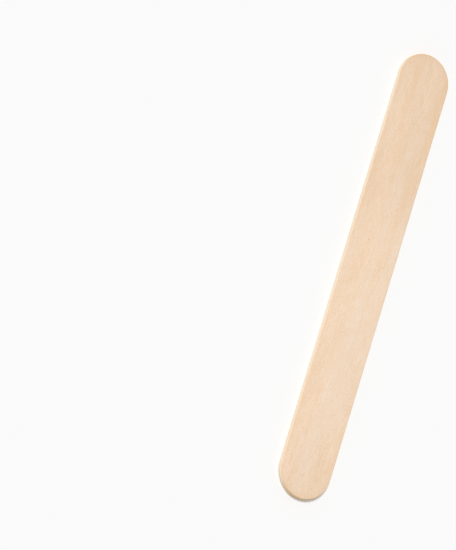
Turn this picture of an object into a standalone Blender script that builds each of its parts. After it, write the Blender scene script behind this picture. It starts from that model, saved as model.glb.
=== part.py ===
"""Tongue depressor: one flat wooden blade with straight sides and full-round ends.

The blade lies flat, with its length along Y, its width along X and its thickness
along Z. The origin is at the middle of its underside, and units are metres.
"""

from math import cos, pi, sin

import bpy

# Driving sizes
LENGTH = 0.150  # tip to tip
WIDTH = 0.018  # across the parallel sides
THICKNESS = 0.0016  # one sheet of sliced birch
EDGE_RADIUS = 0.0004  # easing that tumbling leaves along both rims
THINNEST_WALL = 0.0003  # flat band that always stays between the two eased rims

# Fineness of the round forms
CHORDS_PER_END = 48  # an even number, so that a corner sits on each tip
EDGE_STEPS = 4

# Finish
BIRCH_COLOUR = (0.86, 0.66, 0.47, 1.0)
BIRCH_ROUGHNESS = 0.6


def clear_scene():
    """Remove whatever objects the opened file holds."""
    for thing in list(bpy.data.objects):
        bpy.data.objects.remove(thing, do_unlink=True)


def make_collection(name):
    """Link a new collection to the scene and return it."""
    collection = bpy.data.collections.new(name)
    bpy.context.scene.collection.children.link(collection)
    return collection


def make_birch():
    """Pale, dry and unvarnished wood."""
    material = bpy.data.materials.new("birch")
    material.use_nodes = True
    material.diffuse_color = BIRCH_COLOUR
    shader = material.node_tree.nodes["Principled BSDF"]
    shader.inputs["Base Color"].default_value = BIRCH_COLOUR
    shader.inputs["Roughness"].default_value = BIRCH_ROUGHNESS
    shader.inputs["Metallic"].default_value = 0.0
    return material


def half_round(centre_y, radius, start_angle):
    """Points of a half circle, counter-clockwise from start_angle, with both ends."""
    points = []
    for step in range(CHORDS_PER_END + 1):
        angle = start_angle + pi * step / CHORDS_PER_END
        points.append((radius * cos(angle), centre_y + radius * sin(angle)))
    return points


def blade_outline():
    """Closed outline: two half circles, joined by the two straight sides."""
    end_radius = WIDTH / 2
    end_centre = LENGTH / 2 - end_radius
    far_end = half_round(end_centre, end_radius, 0.0)
    near_end = half_round(-end_centre, end_radius, pi)
    return far_end + near_end


def make_blade(collection):
    """Extrude the outline to the sheet's thickness, with both rims eased."""
    edge_radius = min(EDGE_RADIUS, (THICKNESS - THINNEST_WALL) / 2)
    curve = bpy.data.curves.new("blade", "CURVE")
    curve.dimensions = "2D"
    curve.fill_mode = "BOTH"
    curve.extrude = THICKNESS / 2 - edge_radius
    curve.bevel_depth = edge_radius
    curve.bevel_resolution = EDGE_STEPS
    curve.offset = -edge_radius

    outline = blade_outline()
    spline = curve.splines.new("POLY")
    spline.points.add(len(outline) - 1)
    for point, (x, y) in zip(spline.points, outline):
        point.co = (x, y, 0.0, 1.0)
    spline.use_cyclic_u = True

    blade = bpy.data.objects.new("blade", curve)
    blade.location.z = THICKNESS / 2
    blade.data.materials.append(make_birch())
    collection.objects.link(blade)
    return blade


def main():
    clear_scene()
    make_blade(make_collection("tongue_depressor"))


main()
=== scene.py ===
"""Looks of the tongue depressor: a dry birch blade on a white sheet, in soft light."""

from math import cos, pi, radians, sin

import bmesh
import bpy
from mathutils import Euler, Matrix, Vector, noise


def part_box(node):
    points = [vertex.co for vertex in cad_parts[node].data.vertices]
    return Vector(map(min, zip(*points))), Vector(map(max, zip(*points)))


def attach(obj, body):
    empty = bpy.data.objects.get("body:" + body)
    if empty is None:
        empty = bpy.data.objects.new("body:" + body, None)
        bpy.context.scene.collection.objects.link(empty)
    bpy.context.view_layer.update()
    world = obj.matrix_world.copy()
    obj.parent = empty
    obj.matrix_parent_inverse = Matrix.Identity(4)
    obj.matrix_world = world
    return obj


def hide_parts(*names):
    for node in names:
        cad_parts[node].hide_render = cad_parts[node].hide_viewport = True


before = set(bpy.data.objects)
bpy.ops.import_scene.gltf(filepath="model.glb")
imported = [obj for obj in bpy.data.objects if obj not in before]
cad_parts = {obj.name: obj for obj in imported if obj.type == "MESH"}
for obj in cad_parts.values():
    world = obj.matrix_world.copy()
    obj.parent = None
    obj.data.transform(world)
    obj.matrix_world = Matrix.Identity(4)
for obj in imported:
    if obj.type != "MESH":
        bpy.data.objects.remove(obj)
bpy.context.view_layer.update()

MM = 0.001

# The blade's size and place, from the frame
blade_low, blade_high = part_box("blade")
WIDTH, LENGTH, THICKNESS = blade_high - blade_low
STRAIGHT = LENGTH - WIDTH  # how far the sides run straight between the round ends

# Fineness of the blade's mesh
END_CHORDS = 64
SIDE_STEP = 1.5 * MM
RIM_STEPS = 6
FACE_INSETS = (0.52 * MM, 1.2 * MM, 2.4 * MM, 4.0 * MM, 5.8 * MM, 7.4 * MM)
SEAM_GAP = 0.001 * MM

# The eased rims, whose radius wanders a little along the edge
RIM_RADIUS = 0.28 * MM
RIM_WANDER = 0.12  # as a share of the radius
RIM_WANDER_LENGTH = 14 * MM

# The wood's figure is laid out in millimetres from the blade's middle
HALF_WIDTH = WIDTH / 2 / MM
HALF_STRAIGHT = STRAIGHT / 2 / MM

# The size of one grain of each part of the figure, as (across, along, deep)
GRAIN_SWAY_SIZE = (30, 55, 30)
CLOUD_SIZE = (7, 18, 7)
BAND_SIZE = (3.2, 45, 2.2)
STREAK_SIZE = (1.8, 12, 1.4)
MOTTLE_SIZE = (2.0, 3.6, 2.0)
FIBRE_SIZE = (0.17, 3.0, 0.17)
GRIT_SIZE = (0.23, 0.50, 0.23)
TINT_SIZE = (3.0, 25, 2.5)
SHADE_SIZE = (12, 32, 12)
VESSEL_SIZE = (0.20, 1.4, 0.20)
SPECK_SIZE = (1.6, 2.4, 1.6)
LAYER_SIZE = (5, 50, 0.2)
PORE_SIZE = (0.13, 1.5, 0.13)

# The grain leans off the blade's own axis and sways a little
GRAIN_ANGLE = radians(3.0)
GRAIN_SWAY = 1.0  # from side to side
# The end grain's dark colour is turned off the axis: painted shade on the left of the upper
# end and the right of the lower end, painted light on their other sides
PAINTED_LIGHT_SLANT = radians(10)  # how far the end grain is turned off the blade's own axis

# Half way in a tone, a mask or a noise, which all run from 0 to 1
MIDDLE = 0.5

# How strongly each part of the figure moves the tone between brown and pale
CLOUD_TONE = 0.27
BAND_TONE = 0.36
STREAK_TONE = 0.05
MOTTLE_TONE = 0.08
FIBRE_TONE = 0.56
GRIT_TONE = 0.65
SIDE_TONE = 0.12  # how much browner the wood is along both sides than in the middle

# The wood is palest at one place, below the blade's middle, and darker and browner towards
# both ends: partly its own drift of tone, partly a painted falloff of light
PALEST_PLACE = -17
END_DRIFT_AND_FALLOFF_PER_MM = 0.0026

# Slow changes of tint and of a neutral darkening over the face. The darkening comes in random
# patches of the wood's tone and grows towards the right side as painted shade
TINT_CONTRAST = 2
SHADE_CONTRAST = 1.3
RIGHT_SIDE_PAINTED_SHADE = 0.25  # how much more shade the right side has than the middle

# The noise at which the open pores begin and are full
VESSEL_EDGE = (0.15, 0.25)
VESSEL_STRENGTH = 0.75
PORE_EDGE = (0.05, 0.25)

# The specks, whose radius is a share of their cell
SPECK_CHANCE = (0.84, 1.0)
SPECK_RADIUS = 0.13
SPECK_CORE = SPECK_RADIUS / 2
SPECK_STRENGTH = 0.5

# The edge round both ends, browned by tumbling and darkened as painted shade where it turns
# from the light: a wide faint band and a narrow strong one. Each begins and is full at these
# distances in from the outline.
WIDE_BAND_BROWN_AND_SHADE = (2.8, 0.7)
WIDE_BAND_BROWN_AND_SHADE_STRENGTH = 0.14
NARROW_BAND_BROWN_AND_SHADE = (0.6, 0.0)
NARROW_BAND_BROWN_AND_SHADE_STRENGTH = 0.5
END_REACH = (0.3, 0.8)  # on the way from the straight sides, at 0, to the tip, at 1

# How squarely the surface faces up, from 0 to 1, where the cut edges are full and where
# they end
WALL_TILT = (0.35, 0.95)
RIM_TILT = (0.75, 1.0)

# How much of its outward direction points to the tips where end grain begins and is full
ENDWARD_SHARE = (0.3, 0.75)

# How strongly the cut edges cover the wood under them
WALL_STRENGTH = 0.8
END_GRAIN_STRENGTH = 0.92
LAYER_CONTRAST = 2

# The wood's sheen and relief
WOOD_ROUGHNESS = 0.62
FIBRE_ROUGHNESS = 0.25
WOOD_SPECULAR = 0.35
RELIEF_STRENGTH = 0.35
RELIEF_DEPTH = 0.03 * MM

# Linear colours
PALE_WOOD = (0.943, 0.797, 0.668, 1.0)
BROWN_WOOD = (0.826, 0.558, 0.328, 1.0)
END_DRIFT_AND_FALLOFF_TINT = (0.745, 0.795, 0.91, 1.0)
COOL_TINT = (0.960, 0.986, 1.019, 1.0)
DARK_TONE_AND_PAINTED_SHADE = (0.950, 0.946, 0.942, 1.0)
VESSEL_COLOUR = (0.74, 0.43, 0.20, 1.0)
SPECK_COLOUR = (0.45, 0.28, 0.15, 1.0)
CUT_SIDE = (0.978, 0.862, 0.712, 1.0)
CUT_SIDE_LINE = (0.925, 0.757, 0.575, 1.0)
END_GRAIN = (0.76, 0.50, 0.26, 1.0)
END_PORE = (0.52, 0.31, 0.14, 1.0)
END_BROWN_AND_SHADE = (0.66, 0.42, 0.22, 1.0)
SKY_COLOUR = (1.0, 1.0, 1.0, 1.0)
FLOOR_COLOUR = (0.912, 0.912, 0.912, 1.0)

# The picture: 456 by 550 pixels, with the blade right of the middle
VIEW_NOD = radians(7.09)
VIEW_SLANT = radians(28.12)
VIEW_TURN = radians(18.86)
VIEW_DISTANCE = 1.800
VIEW_LENS = 376.65
VIEW_NEAREST = 0.01
BLADE_RIGHT = 42.27 * MM  # how far the blade's middle lies right of the picture's

# Light and floor
KEY_AZIMUTH = radians(49)
KEY_HEIGHT = radians(61)
KEY_STRENGTH = 1.766
KEY_SPREAD = radians(18)
SKY_STRENGTH = 0.563
FLOOR_SIZE = 4.0
FLOOR_ROUGHNESS = 0.9

# The colour sockets of Blender's Mix node
MIX_FACTOR = 0
MIX_FIRST = 6
MIX_SECOND = 7
MIX_RESULT = 2


class Socket:
    """A shader output that Python's operators combine into Math nodes.

    Socket(tree) has no output yet, and only starts the nodes of a tree.
    """

    def __init__(self, tree, socket=None):
        self.tree = tree
        self.socket = socket

    def node(self, kind, inputs, output=0, **settings):
        """Add a node of any kind to the same tree and return one of its outputs."""
        node = self.tree.nodes.new("ShaderNode" + kind)
        for name, value in settings.items():
            setattr(node, name, value)
        for name, value in inputs.items():
            connect(value, node.inputs[name])
        return Socket(self.tree, node.outputs[output])

    def math(self, operation, first, second=0.0):
        """Add a Math node on numbers or sockets."""
        return self.node("Math", {0: first, 1: second}, operation=operation)

    def __add__(self, other):
        return self.math("ADD", self, other)

    def __radd__(self, other):
        return self.math("ADD", other, self)

    def __sub__(self, other):
        return self.math("SUBTRACT", self, other)

    def __rsub__(self, other):
        return self.math("SUBTRACT", other, self)

    def __mul__(self, other):
        return self.math("MULTIPLY", self, other)

    def __rmul__(self, other):
        return self.math("MULTIPLY", other, self)

    def __truediv__(self, other):
        return self.math("DIVIDE", self, other)

    def __rtruediv__(self, other):
        return self.math("DIVIDE", other, self)

    def __abs__(self):
        return self.math("ABSOLUTE", self)

    def root(self):
        """The square root."""
        return self.math("SQRT", self)

    def at_least(self, other):
        """The larger of this and another number or socket."""
        return self.math("MAXIMUM", self, other)

    def parts(self):
        """The three numbers of a vector."""
        outputs = self.node("SeparateXYZ", {0: self}).socket.node.outputs
        return [Socket(self.tree, output) for output in outputs]

    def ramp(self, start, end):
        """0 at the start, 1 at the end and beyond, and a smooth step between them."""
        inputs = {"Value": self, "From Min": start, "From Max": end}
        return self.node("MapRange", inputs, interpolation_type="SMOOTHSTEP")


def connect(value, target):
    """Link a socket to an input, or set the input to a plain value."""
    if isinstance(value, Socket):
        value.tree.links.new(value.socket, target)
    else:
        target.default_value = value


def blend(mask, colour, other, way="MIX"):
    """The first colour where the mask is 0, the other laid over it where it is 1."""
    inputs = {MIX_FACTOR: mask, MIX_FIRST: colour, MIX_SECOND: other}
    return mask.node("Mix", inputs, MIX_RESULT, data_type="RGBA", blend_type=way)


def cells(place, size):
    """The place as a vector whose unit is one grain of the given size."""
    scaled = {axis: value / length for axis, (value, length) in enumerate(zip(place, size))}
    return place[0].node("CombineXYZ", scaled)


def figure(place, size, detail=0.0):
    """A soft noise about zero, with grains of the given size."""
    vector = cells(place, size)
    inputs = {"Vector": vector, "Scale": 1.0, "Detail": detail}
    return vector.node("TexNoise", inputs, "Fac") - MIDDLE


def new_material(name):
    """A new material and its Principled shader."""
    material = bpy.data.materials.new(name)
    material.use_nodes = True
    return material, material.node_tree.nodes["Principled BSDF"]


def grain_place(x, y, z):
    """Millimetres across the grain, along it and up through it, as it leans and sways."""
    across = x * cos(GRAIN_ANGLE) - y * sin(GRAIN_ANGLE)
    along = x * sin(GRAIN_ANGLE) + y * cos(GRAIN_ANGLE)
    sway = figure((across, along, z), GRAIN_SWAY_SIZE) * GRAIN_SWAY
    return across + sway, along, z


def wood_tone(place, from_middle):
    """How pale the wood is, from its broad bands down to its finest grain."""
    clouds = figure(place, CLOUD_SIZE, detail=1.0) * CLOUD_TONE
    bands = figure(place, BAND_SIZE, detail=1.0) * BAND_TONE
    streaks = figure(place, STREAK_SIZE) * STREAK_TONE
    mottle = figure(place, MOTTLE_SIZE) * MOTTLE_TONE
    fibres = figure(place, FIBRE_SIZE) * FIBRE_TONE
    grit = figure(place, GRIT_SIZE) * GRIT_TONE
    sides = from_middle * from_middle * SIDE_TONE
    return MIDDLE + clouds + bands + streaks + mottle + fibres + grit - sides


def vessel_mask(place):
    """Short open pores, which cut through the face as thin dashes."""
    return figure(place, VESSEL_SIZE, detail=1.0).ramp(*VESSEL_EDGE)


def speck_mask(place):
    """A few pin-sized dark specks, in cells of which most stay empty."""
    vector = cells(place, SPECK_SIZE)
    inputs = {"Vector": vector, "Scale": 1.0, "Randomness": 1.0}
    distance = vector.node("TexVoronoi", inputs, "Distance")
    chance = vector.node("TexVoronoi", inputs, "Color").parts()[0]
    return (1 - distance.ramp(SPECK_CORE, SPECK_RADIUS)) * chance.ramp(*SPECK_CHANCE)


def ends_brown_and_shade(across, along):
    """The edge of the faces round both ends: fibres browned by tumbling, with painted shade
    where the edge turns from the light.
    """
    beyond = (abs(along) - HALF_STRAIGHT).at_least(0.0)
    inset = HALF_WIDTH - (across * across + beyond * beyond).root()
    wide = inset.ramp(*WIDE_BAND_BROWN_AND_SHADE) * WIDE_BAND_BROWN_AND_SHADE_STRENGTH
    narrow = inset.ramp(*NARROW_BAND_BROWN_AND_SHADE) * NARROW_BAND_BROWN_AND_SHADE_STRENGTH
    return (wide + narrow) * (beyond / HALF_WIDTH).ramp(*END_REACH)


def face_colour(place, across, along, vessels):
    """The sliced faces: pale and brown wood with pores and specks, darker towards both ends
    and the right side, partly by painted shade.
    """
    from_middle = across / HALF_WIDTH
    # Painted falloff of light, with the wood's own drift: darker and browner towards both
    # ends
    end_drift_and_painted_falloff = abs(along - PALEST_PLACE) * END_DRIFT_AND_FALLOFF_PER_MM
    colour = blend(wood_tone(place, from_middle) - end_drift_and_painted_falloff, BROWN_WOOD, PALE_WOOD)
    colour = blend(end_drift_and_painted_falloff, colour, END_DRIFT_AND_FALLOFF_TINT, "MULTIPLY")
    coolness = MIDDLE + figure(place, TINT_SIZE, detail=3.0) * TINT_CONTRAST
    colour = blend(coolness, colour, COOL_TINT, "MULTIPLY")
    # Painted shade towards the right side, over random neutral patches of the wood's tone
    shade = MIDDLE + from_middle * RIGHT_SIDE_PAINTED_SHADE + figure(place, SHADE_SIZE) * SHADE_CONTRAST
    colour = blend(shade, colour, DARK_TONE_AND_PAINTED_SHADE, "MULTIPLY")
    colour = blend(vessels * VESSEL_STRENGTH, colour, VESSEL_COLOUR)
    colour = blend(speck_mask(place) * SPECK_STRENGTH, colour, SPECK_COLOUR)
    # Painted shade and browned fibres along the edge round both ends
    return blend(ends_brown_and_shade(across, along), colour, END_BROWN_AND_SHADE)


def cut_side(place):
    """The sheared sides, where the sheet's growth layers run along as fine lines."""
    layers = figure(place, LAYER_SIZE, detail=1.0)
    return blend(MIDDLE + layers * LAYER_CONTRAST, CUT_SIDE_LINE, CUT_SIDE)


def end_grain(place):
    """The ends of the fibres, dotted with open pores."""
    pores = figure(place, PORE_SIZE).ramp(*PORE_EDGE)
    return blend(pores, END_GRAIN, END_PORE)


def add_cut_edges(colour, place, facing):
    """Lay the sheared sides and the end grain over the colour, by where the surface faces."""
    across, along, up = facing.parts()
    wall = 1 - abs(up).ramp(*WALL_TILT)
    rim = 1 - abs(up).ramp(*RIM_TILT)
    # The slant turns the end grain, painting shade on one side of each end and painted light
    # on the other
    sideward = abs(across * cos(PAINTED_LIGHT_SLANT) + along * sin(PAINTED_LIGHT_SLANT))
    endward = abs(along * cos(PAINTED_LIGHT_SLANT) - across * sin(PAINTED_LIGHT_SLANT))
    endwise_and_painted_light = (endward / (sideward + endward)).ramp(*ENDWARD_SHARE)
    colour = blend(wall * WALL_STRENGTH, colour, cut_side(place))
    return blend(rim * endwise_and_painted_light * END_GRAIN_STRENGTH, colour, end_grain(place))


def make_birch():
    """Dry, unvarnished birch with paler cut sides and darker end grain."""
    material, shader = new_material("birch")
    start = Socket(material.node_tree)
    position = start.node("TexCoord", {}, "Object")
    facing = start.node("NewGeometry", {}, "Normal")
    across, along, deep = [axis / MM for axis in position.parts()]
    place = grain_place(across, along, deep)

    vessels = vessel_mask(place)
    colour = face_colour(place, across, along, vessels)
    colour = add_cut_edges(colour, place, facing)
    connect(colour, shader.inputs["Base Color"])

    fibres = figure(place, FIBRE_SIZE, detail=1.0)
    connect(WOOD_ROUGHNESS + fibres * FIBRE_ROUGHNESS, shader.inputs["Roughness"])
    shader.inputs["Specular IOR Level"].default_value = WOOD_SPECULAR

    relief = fibres + figure(place, GRIT_SIZE) - vessels
    inputs = {"Strength": RELIEF_STRENGTH, "Distance": RELIEF_DEPTH, "Height": relief}
    connect(start.node("Bump", inputs, "Normal"), shader.inputs["Normal"])
    return material


def blade_outline():
    """Points of the rim seen from above with their outward directions, side by side."""
    radius = WIDTH / 2
    steps = round(STRAIGHT / SIDE_STEP)
    outline = []
    for side, start_angle in ((1, 0.0), (-1, pi)):
        centre = Vector((0, side * STRAIGHT / 2, 0))
        for step in range(END_CHORDS + 1):
            angle = start_angle + pi * step / END_CHORDS
            outward = Vector((cos(angle), sin(angle), 0))
            outline.append((centre + radius * outward, outward))
        corner, outward = outline[-1]
        for step in range(1, steps):
            along = Vector((0, -side * STRAIGHT * step / steps, 0))
            outline.append((corner + along, outward))
    return outline


def rim_radius(point):
    """The easing's radius near a point of the outline."""
    wander = noise.noise(point / RIM_WANDER_LENGTH)
    return RIM_RADIUS * (1 + RIM_WANDER * wander)


def section(point, outward):
    """Points from the middle of the underside, round the rim, to the middle of the top."""
    radius = rim_radius(point)
    lower = [(inset, 0.0) for inset in reversed(FACE_INSETS)]
    upper = [(inset, THICKNESS) for inset in FACE_INSETS]
    rim = []
    for step in range(RIM_STEPS + 1):
        angle = pi / 2 * step / RIM_STEPS
        rim.append((radius * (1 - sin(angle)), radius * (1 - cos(angle))))
    rim += [(inset, THICKNESS - height) for inset, height in reversed(rim)]
    profile = [(WIDTH / 2, 0.0)] + lower + rim + upper + [(WIDTH / 2, THICKNESS)]
    return [point - outward * inset + Vector((0, 0, height)) for inset, height in profile]


def skin(sections):
    """The faces between neighbouring sections, all the way round the outline."""
    rows = len(sections[0])
    faces = []
    for index in range(len(sections)):
        here = index * rows
        there = (index + 1) % len(sections) * rows
        for row in range(rows - 1):
            faces.append((here + row, there + row, there + row + 1, here + row + 1))
    return faces


def close_seams(mesh):
    """Join the sections where they meet along the middle line, and shade smoothly."""
    work = bmesh.new()
    work.from_mesh(mesh)
    bmesh.ops.remove_doubles(work, verts=work.verts, dist=SEAM_GAP)
    bmesh.ops.recalc_face_normals(work, faces=work.faces)
    work.to_mesh(mesh)
    work.free()
    mesh.shade_smooth()


def make_blade():
    """The blade as one smooth closed mesh of sections set round its outline."""
    middle = (blade_low + blade_high) / 2
    foot = Vector((middle.x, middle.y, blade_low.z))
    sections = [section(point, outward) for point, outward in blade_outline()]
    vertices = [foot + point for points in sections for point in points]
    mesh = bpy.data.meshes.new("birch_blade")
    mesh.from_pydata(vertices, [], skin(sections))
    mesh.validate()
    blade = bpy.data.objects.new("birch_blade", mesh)
    bpy.context.scene.collection.objects.link(blade)
    close_seams(mesh)
    mesh.materials.append(make_birch())
    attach(blade, "root")
    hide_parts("blade")


def make_floor():
    """A wide white sheet that the blade lies on."""
    bpy.ops.mesh.primitive_plane_add(size=FLOOR_SIZE, location=(0, 0, blade_low.z))
    floor = bpy.context.object
    floor.name = "white_sheet"
    material, shader = new_material("white_sheet")
    shader.inputs["Base Color"].default_value = FLOOR_COLOUR
    shader.inputs["Roughness"].default_value = FLOOR_ROUGHNESS
    shader.inputs["Specular IOR Level"].default_value = 0.0
    floor.data.materials.append(material)


def make_key_light():
    """A broad soft light, high up on the left, towards the blade's upper end."""
    light = bpy.data.lights.new("key", "SUN")
    light.energy = KEY_STRENGTH
    light.angle = KEY_SPREAD
    lamp = bpy.data.objects.new("key", light)
    lamp.rotation_euler = Euler((KEY_HEIGHT - pi / 2, 0, KEY_AZIMUTH))
    bpy.context.scene.collection.objects.link(lamp)


def make_sky():
    """An even white surround, dimmer as a light than it looks to the camera and in gloss."""
    world = bpy.data.worlds.new("surround")
    bpy.context.scene.world = world
    world.use_nodes = True
    background = world.node_tree.nodes["Background"]
    background.inputs["Color"].default_value = SKY_COLOUR
    start = Socket(world.node_tree)
    seen = start.node("LightPath", {}, "Is Camera Ray")
    for kind in ("Is Glossy Ray", "Is Transmission Ray"):
        seen = seen.at_least(start.node("LightPath", {}, kind))
    connect(SKY_STRENGTH + seen * (1 - SKY_STRENGTH), background.inputs["Strength"])


def make_camera():
    """The photograph's view: from above, slanted towards the blade's left side."""
    camera = bpy.data.cameras.new("view")
    camera.lens = VIEW_LENS
    camera.clip_start = VIEW_NEAREST
    eye = bpy.data.objects.new("view", camera)
    turn = Euler((VIEW_NOD, -VIEW_SLANT, VIEW_TURN))
    eye.rotation_euler = turn
    eye.location = turn.to_matrix() @ Vector((-BLADE_RIGHT, 0, VIEW_DISTANCE))
    bpy.context.scene.collection.objects.link(eye)
    bpy.context.scene.camera = eye


make_blade()
make_floor()
make_key_light()
make_sky()
make_camera()
bpy.context.scene.view_settings.view_transform = "Standard"
